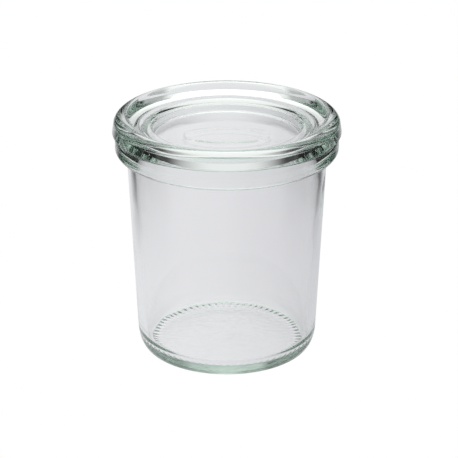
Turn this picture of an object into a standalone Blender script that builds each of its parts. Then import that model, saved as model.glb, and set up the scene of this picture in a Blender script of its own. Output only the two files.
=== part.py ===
"""Small straight-sided canning jar of pressed glass, with its loose domed glass lid.

Both pieces are turned about the Z axis. The jar stands on z = 0 and the lid rests on its rim.
Outlines are lists of (radius, height) points in metres, run from the axis round the piece
and back to the axis, and are closed by the turn.
"""
import math

import bmesh
import bpy

SIDES = 72
TOUCH_GAP = 0.0003

# Jar: foot, heel and drafted wall
FOOT_RADIUS = 0.0252
FOOT_RING_WIDTH = 0.0028
PUNT_HEIGHT = 0.0006
PUNT_CURVE = 2.5
HEEL_RADIUS = 0.0284
HEEL_HEIGHT = 0.0071
BODY_TOP_RADIUS = 0.0311
BODY_TOP_HEIGHT = 0.0641

# Jar: flange round the mouth
FLANGE_RADIUS = 0.0347
FLANGE_EDGE_HEIGHT = 0.0667
RIM_HEIGHT = 0.0710
RIM_OUTER_ROUND = 0.0005
RIM_INNER_ROUND = 0.0009

# Jar: inside
MOUTH_RADIUS = 0.0290
CORNER_RADIUS = 0.0260
CORNER_ROUND = 0.0040
FLOOR_EDGE_HEIGHT = 0.0029
FLOOR_MIDDLE_HEIGHT = 0.0032

# Lid: outer edge and ring with its crest near the edge, heights above the face that sits on the rim
SEAT_HEIGHT = RIM_HEIGHT + TOUCH_GAP
LID_RADIUS = 0.0355
LID_EDGE_ROUND = 0.0005
LID_SIDE_DRAFT = 0.0004
LID_SIDE_HEIGHT = 0.0028
CREST_RADIUS = 0.0320
CREST_HEIGHT = 0.00545

# Lid: stacking ledge, its bevel, sunk middle and plug
LEDGE_OUTER_RADIUS = 0.0263
LEDGE_OUTER_HEIGHT = 0.0025
LEDGE_INNER_RADIUS = 0.02385
LEDGE_INNER_HEIGHT = 0.0024
BEVEL_FOOT_RADIUS = 0.0231
BEVEL_FOOT_HEIGHT = 0.00125
SUNK_RADIUS = 0.02295
SUNK_DEPTH = 0.00145
SUNK_ROUND = 0.0005
PLUG_RADIUS = 0.0257
PLUG_DRAFT = 0.0003
PLUG_DEPTH = 0.0040
PLUG_EDGE_ROUND = 0.0009
PLUG_ROOT_ROUND = 0.0005

JAR_COLOUR = (0.80, 0.87, 0.84, 1.0)
LID_COLOUR = (0.82, 0.89, 0.86, 1.0)
GLASS_ROUGHNESS = 0.04


def arc(centre, radii, start, end, steps):
    """Points on an ellipse about centre, from the start to the end angle in degrees."""
    points = []
    for step in range(steps + 1):
        angle = math.radians(start + (end - start) * step / steps)
        points.append((centre[0] + radii[0] * math.cos(angle), centre[1] + radii[1] * math.sin(angle)))
    return points


def s_curve(start, end, steps):
    """Points after start to end on a slope that is level at both of its ends."""
    points = []
    for step in range(1, steps + 1):
        share = step / steps
        rise = 0.5 - 0.5 * math.cos(math.pi * share)
        points.append((start[0] + (end[0] - start[0]) * share, start[1] + (end[1] - start[1]) * rise))
    return points


def jar_outline():
    """From the middle of the underside out to the foot, up the wall, over the rim and down inside."""
    foot_inner = FOOT_RADIUS - FOOT_RING_WIDTH
    outline = [(foot_inner * step / 6, PUNT_HEIGHT * (1 - (step / 6) ** PUNT_CURVE)) for step in range(7)]
    heel_depth = HEEL_RADIUS - FOOT_RADIUS
    outline += arc((FOOT_RADIUS, HEEL_HEIGHT), (heel_depth, HEEL_HEIGHT), -90, 0, 8)
    flange_depth = FLANGE_RADIUS - BODY_TOP_RADIUS
    flange_drop = FLANGE_EDGE_HEIGHT - BODY_TOP_HEIGHT
    outline += arc((BODY_TOP_RADIUS, FLANGE_EDGE_HEIGHT), (flange_depth, flange_drop), -90, 0, 6)
    outer_centre = (FLANGE_RADIUS - RIM_OUTER_ROUND, RIM_HEIGHT - RIM_OUTER_ROUND)
    outline += arc(outer_centre, (RIM_OUTER_ROUND, RIM_OUTER_ROUND), 0, 90, 3)
    inner_centre = (MOUTH_RADIUS + RIM_INNER_ROUND, RIM_HEIGHT - RIM_INNER_ROUND)
    outline += arc(inner_centre, (RIM_INNER_ROUND, RIM_INNER_ROUND), 90, 180, 4)
    corner_centre = (CORNER_RADIUS - CORNER_ROUND, FLOOR_EDGE_HEIGHT + CORNER_ROUND)
    outline += arc(corner_centre, (CORNER_ROUND, CORNER_ROUND), 0, -90, 6)
    outline.append((0.0, FLOOR_MIDDLE_HEIGHT))
    return outline


def lid_outline():
    """From the middle of the plug out to the seat, up the side, over the ring and down to the middle."""
    plug_foot = PLUG_RADIUS - PLUG_DRAFT
    outline = [(0.0, -PLUG_DEPTH)]
    edge_centre = (plug_foot - PLUG_EDGE_ROUND, PLUG_EDGE_ROUND - PLUG_DEPTH)
    outline += arc(edge_centre, (PLUG_EDGE_ROUND, PLUG_EDGE_ROUND), -90, 0, 4)
    root_centre = (PLUG_RADIUS + PLUG_ROOT_ROUND, -PLUG_ROOT_ROUND)
    outline += arc(root_centre, (PLUG_ROOT_ROUND, PLUG_ROOT_ROUND), 180, 90, 3)
    rim_centre = (LID_RADIUS - LID_EDGE_ROUND, LID_EDGE_ROUND)
    outline += arc(rim_centre, (LID_EDGE_ROUND, LID_EDGE_ROUND), -90, 0, 3)
    dome_height = CREST_HEIGHT - LID_SIDE_HEIGHT
    outer_dome = LID_RADIUS - LID_SIDE_DRAFT - CREST_RADIUS
    outline += arc((CREST_RADIUS, LID_SIDE_HEIGHT), (outer_dome, dome_height), 0, 90, 8)
    outline += s_curve((CREST_RADIUS, CREST_HEIGHT), (LEDGE_OUTER_RADIUS, LEDGE_OUTER_HEIGHT), 8)
    outline.append((LEDGE_INNER_RADIUS, LEDGE_INNER_HEIGHT))
    outline.append((BEVEL_FOOT_RADIUS, BEVEL_FOOT_HEIGHT))
    sunk_centre = (SUNK_RADIUS - SUNK_ROUND, SUNK_ROUND - SUNK_DEPTH)
    outline += arc(sunk_centre, (SUNK_ROUND, SUNK_ROUND), 0, -90, 3)
    outline.append((0.0, -SUNK_DEPTH))
    return [(radius, SEAT_HEIGHT + height) for radius, height in outline]


def glass(name, colour):
    """Clear pressed glass with a faint green cast."""
    material = bpy.data.materials.new(name)
    material.use_nodes = True
    shader = material.node_tree.nodes["Principled BSDF"]
    shader.inputs["Base Color"].default_value = colour
    shader.inputs["Roughness"].default_value = GLASS_ROUGHNESS
    shader.inputs["Metallic"].default_value = 0.0
    return material


def turned(name, outline, material):
    """One closed solid: the outline spun once round Z, with its two ends joined on the axis."""
    bm = bmesh.new()
    points = [bm.verts.new((radius, 0.0, height)) for radius, height in outline]
    edges = [bm.edges.new(pair) for pair in zip(points, points[1:])]
    bmesh.ops.spin(
        bm,
        geom=points + edges,
        cent=(0.0, 0.0, 0.0),
        axis=(0.0, 0.0, 1.0),
        angle=math.tau,
        steps=SIDES,
        use_merge=True,
    )
    bmesh.ops.remove_doubles(bm, verts=bm.verts, dist=1e-6)
    bmesh.ops.recalc_face_normals(bm, faces=bm.faces)
    mesh = bpy.data.meshes.new(name)
    bm.to_mesh(mesh)
    bm.free()
    mesh.materials.append(material)
    mesh.shade_smooth()
    mesh.set_sharp_from_angle(angle=math.radians(35))
    piece = bpy.data.objects.new(name, mesh)
    bpy.context.scene.collection.objects.link(piece)
    return piece


for old in list(bpy.data.objects):
    bpy.data.objects.remove(old, do_unlink=True)

turned("jar", jar_outline(), glass("jar_glass", JAR_COLOUR))
turned("lid", lid_outline(), glass("lid_glass", LID_COLOUR))
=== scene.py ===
"""A small canning jar of pressed glass with its loose glass lid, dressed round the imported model.

Metres, +Z up, the jar's axis on Z and its foot on z = 0, the camera on the -Y side.
"""
import math

import bpy
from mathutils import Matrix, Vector


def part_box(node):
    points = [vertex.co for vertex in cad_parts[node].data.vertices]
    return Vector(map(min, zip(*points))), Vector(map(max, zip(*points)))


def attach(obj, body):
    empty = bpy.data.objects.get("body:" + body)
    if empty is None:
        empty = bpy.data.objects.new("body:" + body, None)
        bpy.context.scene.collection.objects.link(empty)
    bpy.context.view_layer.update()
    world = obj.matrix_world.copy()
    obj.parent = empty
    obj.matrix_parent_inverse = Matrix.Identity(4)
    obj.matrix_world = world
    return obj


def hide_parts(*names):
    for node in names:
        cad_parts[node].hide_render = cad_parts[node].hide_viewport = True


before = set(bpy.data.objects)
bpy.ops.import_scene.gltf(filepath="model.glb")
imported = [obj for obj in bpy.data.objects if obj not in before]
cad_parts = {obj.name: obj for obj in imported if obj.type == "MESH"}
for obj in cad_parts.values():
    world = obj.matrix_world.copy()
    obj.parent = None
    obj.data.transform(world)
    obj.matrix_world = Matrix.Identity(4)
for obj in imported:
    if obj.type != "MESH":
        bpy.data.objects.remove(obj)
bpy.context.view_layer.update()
jar_low, jar_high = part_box("jar")
lid_low, lid_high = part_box("lid")

# The jar is one gob of soda-lime glass, pressed in a mould: a wall about 2.5 mm thick that
# widens a little to the top, a rounded heel, a thick flange round the mouth and a raised
# middle under the foot. Its outline is drawn from the underside out, up and down inside, and turned.
KNURLS = 68
STEPS_PER_KNURL = 6
TURN_STEPS = KNURLS * STEPS_PER_KNURL
CREASE = math.radians(24)

FOOT_RADIUS = 0.0252
FOOT_RING_WIDTH = 0.0028
PUNT_HEIGHT = 0.0006
PUNT_CURVE = 2.5
HEEL_RADIUS = 0.0284
HEEL_HEIGHT = 0.0071
BODY_TOP_RADIUS = 0.0311
BODY_TOP_HEIGHT = 0.0641
FLANGE_RADIUS = jar_high.x
FLANGE_EDGE_HEIGHT = 0.0667
RIM_HEIGHT = jar_high.z
RIM_OUTER_ROUND = 0.0005
RIM_INNER_ROUND = 0.0009
MOUTH_RADIUS = 0.0290
CORNER_RADIUS = 0.0260
CORNER_ROUND = 0.0040
FLOOR_EDGE_HEIGHT = 0.0029
FLOOR_MIDDLE_HEIGHT = 0.0032
WALL_ROWS = 30
FLOOR_ROWS = 12
FOOT_ROWS = 6


def arc(centre, radii, start, end, steps):
    """Points on an ellipse about centre, from the start to the end angle in degrees."""
    points = []
    for step in range(steps + 1):
        angle = math.radians(start + (end - start) * step / steps)
        points.append((centre[0] + radii[0] * math.cos(angle), centre[1] + radii[1] * math.sin(angle)))
    return points


def straight(start, end, steps):
    """Points between two points, without the two ends."""
    return [
        (start[0] + (end[0] - start[0]) * step / steps, start[1] + (end[1] - start[1]) * step / steps)
        for step in range(1, steps)
    ]


def turned(name, outline):
    """Draws the outline point by point with extrusions from one vertex, then spins it into a closed shell."""
    bpy.ops.object.select_all(action="DESELECT")
    bpy.ops.mesh.primitive_plane_add(size=0.001, location=(outline[0][0], 0.0, outline[0][1]))
    piece = bpy.context.object
    piece.name = name
    bpy.ops.object.mode_set(mode="EDIT")
    bpy.ops.mesh.merge(type="CENTER")
    for (radius, height), (next_radius, next_height) in zip(outline, outline[1:]):
        step = (next_radius - radius, 0.0, next_height - height)
        bpy.ops.mesh.extrude_region_move(TRANSFORM_OT_translate={"value": step})
    bpy.ops.mesh.select_all(action="SELECT")
    bpy.ops.mesh.spin(steps=TURN_STEPS, angle=math.tau, center=(0.0, 0.0, 0.0), axis=(0.0, 0.0, 1.0))
    bpy.ops.mesh.select_all(action="SELECT")
    bpy.ops.mesh.remove_doubles(threshold=0.000002)
    bpy.ops.mesh.normals_make_consistent(inside=False)
    bpy.ops.object.mode_set(mode="OBJECT")
    bpy.ops.object.transform_apply(location=True, rotation=True, scale=True)
    bpy.ops.object.shade_smooth_by_angle(angle=CREASE)
    return piece


foot_inner = FOOT_RADIUS - FOOT_RING_WIDTH
shares = [row / FLOOR_ROWS for row in range(FLOOR_ROWS + 1)]
jar_outline = [(foot_inner * share, PUNT_HEIGHT * (1 - share**PUNT_CURVE)) for share in shares]
jar_outline += straight(jar_outline[-1], (FOOT_RADIUS, 0.0), FOOT_ROWS)
jar_outline += arc((FOOT_RADIUS, HEEL_HEIGHT), (HEEL_RADIUS - FOOT_RADIUS, HEEL_HEIGHT), -90, 0, 24)
jar_outline += straight((HEEL_RADIUS, HEEL_HEIGHT), (BODY_TOP_RADIUS, BODY_TOP_HEIGHT), WALL_ROWS)
jar_outline += arc(
    (BODY_TOP_RADIUS, FLANGE_EDGE_HEIGHT),
    (FLANGE_RADIUS - BODY_TOP_RADIUS, FLANGE_EDGE_HEIGHT - BODY_TOP_HEIGHT),
    -90,
    0,
    20,
)
jar_outline += arc(
    (FLANGE_RADIUS - RIM_OUTER_ROUND, RIM_HEIGHT - RIM_OUTER_ROUND),
    (RIM_OUTER_ROUND, RIM_OUTER_ROUND),
    0,
    90,
    8,
)
jar_outline += arc(
    (MOUTH_RADIUS + RIM_INNER_ROUND, RIM_HEIGHT - RIM_INNER_ROUND),
    (RIM_INNER_ROUND, RIM_INNER_ROUND),
    90,
    180,
    10,
)
corner = arc(
    (CORNER_RADIUS - CORNER_ROUND, FLOOR_EDGE_HEIGHT + CORNER_ROUND),
    (CORNER_ROUND, CORNER_ROUND),
    0,
    -90,
    16,
)
jar_outline += straight(jar_outline[-1], corner[0], WALL_ROWS) + corner
jar_outline += straight(corner[-1], (0.0, FLOOR_MIDDLE_HEIGHT), FLOOR_ROWS) + [(0.0, FLOOR_MIDDLE_HEIGHT)]

jar = turned("pressed_jar", jar_outline)


def pick(piece, wanted):
    """Opens the piece for editing with only the vertices selected whose place the test wants."""
    bpy.ops.object.mode_set(mode="EDIT")
    bpy.ops.mesh.select_mode(type="VERT")
    bpy.ops.mesh.select_all(action="DESELECT")
    bpy.ops.object.mode_set(mode="OBJECT")
    for vertex in piece.data.vertices:
        vertex.select = wanted(vertex.co)
    bpy.ops.object.mode_set(mode="EDIT")


def column(place):
    """Which of the turn's steps a place is on, counted from +X."""
    return round(math.atan2(place.y, place.x) / math.tau * TURN_STEPS) % TURN_STEPS


# Knurling round the foot: short bars cut up into the ring that the jar stands on
KNURL_CUT = 0.00025
KNURL_SHAPE = (1.0, 1.0, 0.4, 0.0, 0.0, 0.4)
KNURL_TOP = 0.0006
HAIR = 0.0001
for position, share in enumerate(KNURL_SHAPE):
    if share:
        pick(
            jar,
            lambda place: column(place) % STEPS_PER_KNURL == position
            and place.z < KNURL_TOP
            and foot_inner + HAIR < place.xy.length < FOOT_RADIUS - HAIR,
        )
        bpy.ops.transform.translate(value=(0.0, 0.0, KNURL_CUT * share))
        bpy.ops.object.mode_set(mode="OBJECT")

# The two mould halves leave a fine seam up the wall, a little to the right of the front
SEAM_ANGLE = 270 + 10.6
SEAM_RISE = 0.00004
WALL_CLEAR = 0.001
SEAM_COLUMN = round(SEAM_ANGLE / 360 * TURN_STEPS)
seams = (SEAM_COLUMN, (SEAM_COLUMN + TURN_STEPS // 2) % TURN_STEPS)
pick(
    jar,
    lambda place: column(place) in seams
    and place.xy.length > MOUTH_RADIUS - WALL_CLEAR
    and HEEL_HEIGHT < place.z < BODY_TOP_HEIGHT,
)
swell = 1.0 + SEAM_RISE / BODY_TOP_RADIUS
bpy.ops.transform.resize(value=(swell, swell, 1.0), center_override=(0.0, 0.0, 0.0))
bpy.ops.object.mode_set(mode="OBJECT")

# The plunger leaves the inside of the wall faintly wavy
WAVE_DEPTH = 0.00016
WAVE_SIZE = 0.012
wall_foot = FLOOR_EDGE_HEIGHT + CORNER_ROUND
widening = (MOUTH_RADIUS - CORNER_RADIUS) / (RIM_HEIGHT - RIM_INNER_ROUND - wall_foot)
pick(
    jar,
    lambda place: wall_foot < place.z < RIM_HEIGHT - RIM_INNER_ROUND - WALL_CLEAR
    and place.xy.length < CORNER_RADIUS + WALL_CLEAR + widening * (place.z - wall_foot),
)
bpy.ops.object.vertex_group_add()
bpy.ops.object.vertex_group_assign()
bpy.ops.object.mode_set(mode="OBJECT")
clouds = bpy.data.textures.new("plunger_waves", "CLOUDS")
clouds.noise_scale = WAVE_SIZE
clouds.noise_depth = 1
bpy.ops.object.modifier_add(type="DISPLACE")
waves = jar.modifiers[-1]
waves.texture = clouds
waves.texture_coords = "LOCAL"
waves.strength = WAVE_DEPTH
waves.mid_level = 0.5
waves.vertex_group = jar.vertex_groups[-1].name
bpy.ops.object.modifier_apply(modifier=waves.name)


class Wire:
    """A socket's output while a material is wired. Sums and products of wires add Math nodes."""

    def __init__(self, tree, socket):
        self.tree = tree
        self.socket = socket

    @staticmethod
    def node(tree, kind, settings, sockets):
        """Adds one node: its settings first, then the value or the wire of each named socket."""
        new = tree.nodes.new(kind)
        for name, value in settings.items():
            if name == "stops":
                ramp = new.color_ramp
                while len(ramp.elements) < len(value):
                    ramp.elements.new(1.0)
                for element, (position, colour) in zip(ramp.elements, value):
                    element.position = position
                    element.color = colour
            else:
                setattr(new, name, value)
        for name, value in sockets.items():
            if isinstance(value, Wire):
                tree.links.new(value.socket, new.inputs[name])
            else:
                new.inputs[name].default_value = value
        return new

    @classmethod
    def of(cls, tree, kind, settings, sockets, output=0):
        return cls(tree, cls.node(tree, kind, settings, sockets).outputs[output])

    def sum(self, operation, first, second=0.0):
        return Wire.of(self.tree, "ShaderNodeMath", {"operation": operation}, {0: first, 1: second})

    def __add__(self, other):
        return self.sum("ADD", self, other)

    def __radd__(self, other):
        return self.sum("ADD", other, self)

    def __sub__(self, other):
        return self.sum("SUBTRACT", self, other)

    def __rsub__(self, other):
        return self.sum("SUBTRACT", other, self)

    def __mul__(self, other):
        return self.sum("MULTIPLY", self, other)

    def __rmul__(self, other):
        return self.sum("MULTIPLY", other, self)

    def __abs__(self):
        return self.sum("ABSOLUTE", self)

    def fade(self, low, high):
        """0 below low and 1 above high, with a smooth change between, or the other way round."""
        settings = {"interpolation_type": "SMOOTHSTEP"}
        sockets = {"Value": self, "From Min": low, "From Max": high}
        return Wire.of(self.tree, "ShaderNodeMapRange", settings, sockets)


GREEN_CAST = (0.36, 0.60, 0.47, 1.0)
GREEN_DEPTH = 14.0
REFRACTION = 1.5
SWELLS_PER_METRE = 90.0
STIPPLES_PER_METRE = 700.0
SKIN_RELIEF = 0.00004
CLOUDINESS = 0.3
CLOUD_FADE_HEIGHT = 0.0002
CLOUD_FADE_WIDTH = 0.001


def pressed_glass(name, clouded_below, clouded_radius):
    """Clear soda-lime glass, green where the eye looks through a long way of it, with a fire-polished skin.

    The skin is stippled and a little cloudy below a height and inside a radius, where the mould was worn.
    """
    material = bpy.data.materials.new(name)
    material.use_nodes = True
    tree = material.node_tree
    place = Wire.of(tree, "ShaderNodeTexCoord", {}, {}, "Object")
    unevenness = {"Vector": place, "Scale": SWELLS_PER_METRE, "Detail": 1.0}
    swell = Wire.of(tree, "ShaderNodeTexNoise", {}, unevenness)
    grain = {"Vector": place, "Scale": STIPPLES_PER_METRE, "Detail": 3.0}
    stipple = Wire.of(tree, "ShaderNodeTexNoise", {}, grain)
    split = Wire.node(tree, "ShaderNodeSeparateXYZ", {}, {"Vector": place})
    across, along, up = (Wire(tree, split.outputs[axis]) for axis in "XYZ")
    worn = up.fade(clouded_below + CLOUD_FADE_HEIGHT, clouded_below)
    inner_radius = clouded_radius - CLOUD_FADE_WIDTH
    worn = worn * (across * across + along * along).fade(clouded_radius**2, inner_radius**2)
    relief = {"Height": swell + worn * stipple, "Strength": 1.0, "Distance": SKIN_RELIEF}
    bump = Wire.of(tree, "ShaderNodeBump", {}, relief)
    shader = tree.nodes["Principled BSDF"]
    shader.inputs["Base Color"].default_value = (1.0, 1.0, 1.0, 1.0)
    shader.inputs["IOR"].default_value = REFRACTION
    shader.inputs["Transmission Weight"].default_value = 1.0
    tree.links.new((worn * stipple * CLOUDINESS).socket, shader.inputs["Roughness"])
    tree.links.new(bump.socket, shader.inputs["Normal"])
    depth = Wire.node(tree, "ShaderNodeVolumeAbsorption", {}, {"Color": GREEN_CAST, "Density": GREEN_DEPTH})
    tree.links.new(depth.outputs["Volume"], tree.nodes["Material Output"].inputs["Volume"])
    return material


jar.data.materials.append(pressed_glass("jar_glass_finish", PUNT_HEIGHT + KNURL_CUT, foot_inner))
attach(jar, "root")
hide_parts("jar")

# The lid is pressed from the same glass: a domed ring that sits on the jar's rim, a sunk middle
# and, below it, a plug that keeps the lid centred in the mouth. It only rests there.
PLUG_RADIUS = 0.0257
PLUG_DRAFT = 0.0003
PLUG_DEPTH = 0.0040
PLUG_EDGE_ROUND = 0.0009
PLUG_ROOT_ROUND = 0.0005
SEAT_HEIGHT = lid_low.z + PLUG_DEPTH
LID_RADIUS = lid_high.x
LID_EDGE_ROUND = 0.0005
LID_SIDE_DRAFT = 0.0004
LID_SIDE_HEIGHT = 0.0028
CREST_RADIUS = 0.0320
CREST_HEIGHT = 0.00545
LEDGE_OUTER_RADIUS = 0.0263
LEDGE_OUTER_HEIGHT = 0.0025
LEDGE_INNER_RADIUS = 0.02385
LEDGE_INNER_HEIGHT = 0.0024
BEVEL_FOOT_RADIUS = 0.0231
BEVEL_FOOT_HEIGHT = 0.00125
SUNK_RADIUS = 0.02295
SUNK_DEPTH = 0.00145
SUNK_ROUND = 0.0005
SLOPE_ROWS = 26
LEDGE_ROWS = 4
MIDDLE_ROWS = 70

lid_outline = [(0.0, -PLUG_DEPTH)]
lid_outline += arc(
    (PLUG_RADIUS - PLUG_DRAFT - PLUG_EDGE_ROUND, PLUG_EDGE_ROUND - PLUG_DEPTH),
    (PLUG_EDGE_ROUND, PLUG_EDGE_ROUND),
    -90,
    0,
    8,
)
lid_outline += arc(
    (PLUG_RADIUS + PLUG_ROOT_ROUND, -PLUG_ROOT_ROUND), (PLUG_ROOT_ROUND, PLUG_ROOT_ROUND), 180, 90, 6
)
lid_outline += arc(
    (LID_RADIUS - LID_EDGE_ROUND, LID_EDGE_ROUND), (LID_EDGE_ROUND, LID_EDGE_ROUND), -90, 0, 6
)
lid_outline += arc(
    (CREST_RADIUS, LID_SIDE_HEIGHT),
    (LID_RADIUS - LID_SIDE_DRAFT - CREST_RADIUS, CREST_HEIGHT - LID_SIDE_HEIGHT),
    0,
    90,
    30,
)
for row in range(1, SLOPE_ROWS + 1):
    share = row / SLOPE_ROWS
    drop = 0.5 - 0.5 * math.cos(math.pi * share)
    lid_outline += [
        (
            CREST_RADIUS + (LEDGE_OUTER_RADIUS - CREST_RADIUS) * share,
            CREST_HEIGHT + (LEDGE_OUTER_HEIGHT - CREST_HEIGHT) * drop,
        )
    ]
ledge_inner = (LEDGE_INNER_RADIUS, LEDGE_INNER_HEIGHT)
lid_outline += straight(lid_outline[-1], ledge_inner, LEDGE_ROWS)
lid_outline += [ledge_inner, (BEVEL_FOOT_RADIUS, BEVEL_FOOT_HEIGHT)]
lid_outline += arc(
    (SUNK_RADIUS - SUNK_ROUND, SUNK_ROUND - SUNK_DEPTH), (SUNK_ROUND, SUNK_ROUND), 0, -90, 6
)
lid_outline += straight(lid_outline[-1], (0.0, -SUNK_DEPTH), MIDDLE_ROWS) + [(0.0, -SUNK_DEPTH)]

lid = turned("pressed_lid", [(radius, SEAT_HEIGHT + height) for radius, height in lid_outline])

# A plain raised oval in the sunk middle, built up in thin layers so that its sides slope
OVAL_HALF_WIDTH = 0.01225
OVAL_HALF_DEPTH = 0.00625
OVAL_CLEAR = 0.001
OVAL_LAYERS = ((0.0012, 0.00003), (0.0009, 0.00004), (0.0006, 0.00004), (0.0003, 0.00003))


def off_oval(place):
    """Roughly how far a place is from the oval's line, as a length."""
    return abs(math.hypot(place.x / OVAL_HALF_WIDTH, place.y / OVAL_HALF_DEPTH) - 1) * OVAL_HALF_DEPTH


for half_width, layer in OVAL_LAYERS:
    pick(
        lid,
        lambda place: SEAT_HEIGHT - SUNK_DEPTH - HAIR < place.z < SEAT_HEIGHT
        and place.xy.length < OVAL_HALF_WIDTH + OVAL_CLEAR
        and off_oval(place) < half_width,
    )
    bpy.ops.transform.translate(value=(0.0, 0.0, layer))
    bpy.ops.object.mode_set(mode="OBJECT")

lid.data.materials.append(pressed_glass("lid_glass_finish", 0.0, PLUG_RADIUS))
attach(lid, "root")
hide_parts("lid")

# The studio: a pale table and a soft white surround with dark flags beside the jar, which draw the
# dark edges of the glass. The table is no lamp but glows: painted light, with painted shade on it.
# To the camera both are plain white; only the glass sees how the light is spread.
FLOOR_RADIUS = 0.8
FLOOR_DROP = 0.0003
# Painted light: the table's glow as the glass sees it, a little below white
FLOOR_SHADE = (0.80, 0.79, 0.82, 1.0)
WHITE = (1.0, 1.0, 1.0, 1.0)
# Painted shade: the table's glow falls off a little to the right
RIGHT_PAINTED_SHADE = (0.66, 0.65, 0.68, 1.0)
RIGHT_FROM, RIGHT_TO = -0.02, 0.05
# Painted shade where the table's sides are out of the light: side angles in degrees (0 behind the jar)
# and distances
UNLIT_PAINTED_SHADE = (0.04, 0.04, 0.04, 1.0)
UNLIT_FROM, UNLIT_TO, UNLIT_SOFT = 40, 115, 10
UNLIT_NEAR, UNLIT_FAR = 0.06, 0.18

bpy.ops.object.select_all(action="DESELECT")
bpy.ops.mesh.primitive_circle_add(
    vertices=96, radius=FLOOR_RADIUS, fill_type="NGON", location=(0.0, 0.0, -FLOOR_DROP)
)
table = bpy.context.object
table.name = "pale_table"
bpy.ops.object.transform_apply(location=True, rotation=True, scale=True)
# The table's material is an emission: painted light, with the painted shade below mixed in
table_painted_glow = bpy.data.materials.new("pale_table_paint")
table_painted_glow.use_nodes = True
tree = table_painted_glow.node_tree
tree.nodes.remove(tree.nodes["Principled BSDF"])
place = Wire.of(tree, "ShaderNodeTexCoord", {}, {}, "Object")
split = Wire.node(tree, "ShaderNodeSeparateXYZ", {}, {"Vector": place})
across, along = (Wire(tree, split.outputs[axis]) for axis in "XY")
side = abs(across.sum("ARCTAN2", across, along))
unlit = side.fade(math.radians(UNLIT_FROM - UNLIT_SOFT), math.radians(UNLIT_FROM + UNLIT_SOFT))
unlit = unlit * side.fade(math.radians(UNLIT_TO + UNLIT_SOFT), math.radians(UNLIT_TO - UNLIT_SOFT))
unlit = unlit * (across * across + along * along).fade(UNLIT_NEAR**2, UNLIT_FAR**2)
right = across.fade(RIGHT_FROM, RIGHT_TO)
seen = Wire.of(tree, "ShaderNodeLightPath", {}, {}, "Is Camera Ray")
# Painted shade mixed into the table's glow: darker to the right and on the unlit sides, plain white to the
# camera
shade = Wire.of(tree, "ShaderNodeMix", {"data_type": "RGBA"}, {0: right, 6: FLOOR_SHADE, 7: RIGHT_PAINTED_SHADE}, 2)
shade = Wire.of(tree, "ShaderNodeMix", {"data_type": "RGBA"}, {0: unlit, 6: shade, 7: UNLIT_PAINTED_SHADE}, 2)
shade = Wire.of(tree, "ShaderNodeMix", {"data_type": "RGBA"}, {0: seen, 6: shade, 7: WHITE}, 2)
glow = Wire.node(tree, "ShaderNodeEmission", {}, {"Color": shade})
tree.links.new(glow.outputs["Emission"], tree.nodes["Material Output"].inputs["Surface"])
table.data.materials.append(table_painted_glow)

# Brightness of the surround by height above the horizon, in degrees
SURROUND = [(-90, 0.8), (-2, 0.8), (8, 0.9), (30, 1.0), (50, 1.4), (90, 1.5)]
# Flags: from and to side angle (0 behind the jar, right is positive), softness, the same for
# height, and brightness
FLAGS = [
    (5, 82, 4, -30, 18, 4, 0.02),
    (-82, -5, 4, -30, 18, 4, 0.02),
    (22, 82, 7, 14, 40, 6, 0.02),
    (-82, -20, 3, 14, 40, 6, 0.01),
    (82, 110, 6, -30, 30, 10, 0.45),
    (-110, -82, 6, -30, 30, 10, 0.45),
]

world = bpy.data.worlds.new("studio")
bpy.context.scene.world = world
world.use_nodes = True
tree = world.node_tree
way = Wire.of(tree, "ShaderNodeTexCoord", {}, {}, "Generated")
split = Wire.node(tree, "ShaderNodeSeparateXYZ", {}, {"Vector": way})
across, along, up = (Wire(tree, split.outputs[axis]) for axis in "XYZ")
height = up.sum("ARCSINE", up)
side = up.sum("ARCTAN2", across, along)
stops = [((angle + 90) / 180, (value, value, value, 1.0)) for angle, value in SURROUND]
light = Wire.of(
    tree,
    "ShaderNodeValToRGB",
    {"stops": stops},
    {"Fac": height * (1 / math.pi) + 0.5},
)
for side_from, side_to, side_soft, low, high, soft, value in FLAGS:
    flag = side.fade(math.radians(side_from - side_soft), math.radians(side_from + side_soft))
    flag = flag * side.fade(math.radians(side_to + side_soft), math.radians(side_to - side_soft))
    flag = flag * height.fade(math.radians(low - soft), math.radians(low + soft))
    flag = flag * height.fade(math.radians(high + soft), math.radians(high - soft))
    light = Wire.of(
        tree, "ShaderNodeMix", {"data_type": "RGBA"}, {0: flag, 6: light, 7: (value, value, value, 1.0)}, 2
    )
seen = Wire.of(tree, "ShaderNodeLightPath", {}, {}, "Is Camera Ray")
light = Wire.of(tree, "ShaderNodeMix", {"data_type": "RGBA"}, {0: seen, 6: light, 7: WHITE}, 2)
tree.links.new(light.socket, tree.nodes["Background"].inputs["Color"])

# The camera looks a little down on the jar from the front, through a long lens. The focal length
# was fitted in pixels of the 458 pixel wide picture.
PICTURE_WIDTH = 458
FOCAL_PIXELS = 2091.5
CAMERA_DISTANCE = 0.6599
CAMERA_HEIGHT_ANGLE = math.radians(22.73)
AIM = Vector((0.00066, 0.0, 0.03838))

bpy.ops.object.camera_add()
camera = bpy.context.object
camera.data.lens = FOCAL_PIXELS * camera.data.sensor_width / PICTURE_WIDTH
camera.data.clip_start = 0.01
back = Vector((0.0, -math.cos(CAMERA_HEIGHT_ANGLE), math.sin(CAMERA_HEIGHT_ANGLE)))
camera.location = AIM + back * CAMERA_DISTANCE
camera.rotation_euler = (math.pi / 2 - CAMERA_HEIGHT_ANGLE, 0.0, 0.0)
scene = bpy.context.scene
scene.camera = camera
scene.view_settings.view_transform = "Standard"
scene.cycles.max_bounces = 32
scene.cycles.transmission_bounces = 32
scene.cycles.glossy_bounces = 32
scene.cycles.sample_clamp_indirect = 0.0
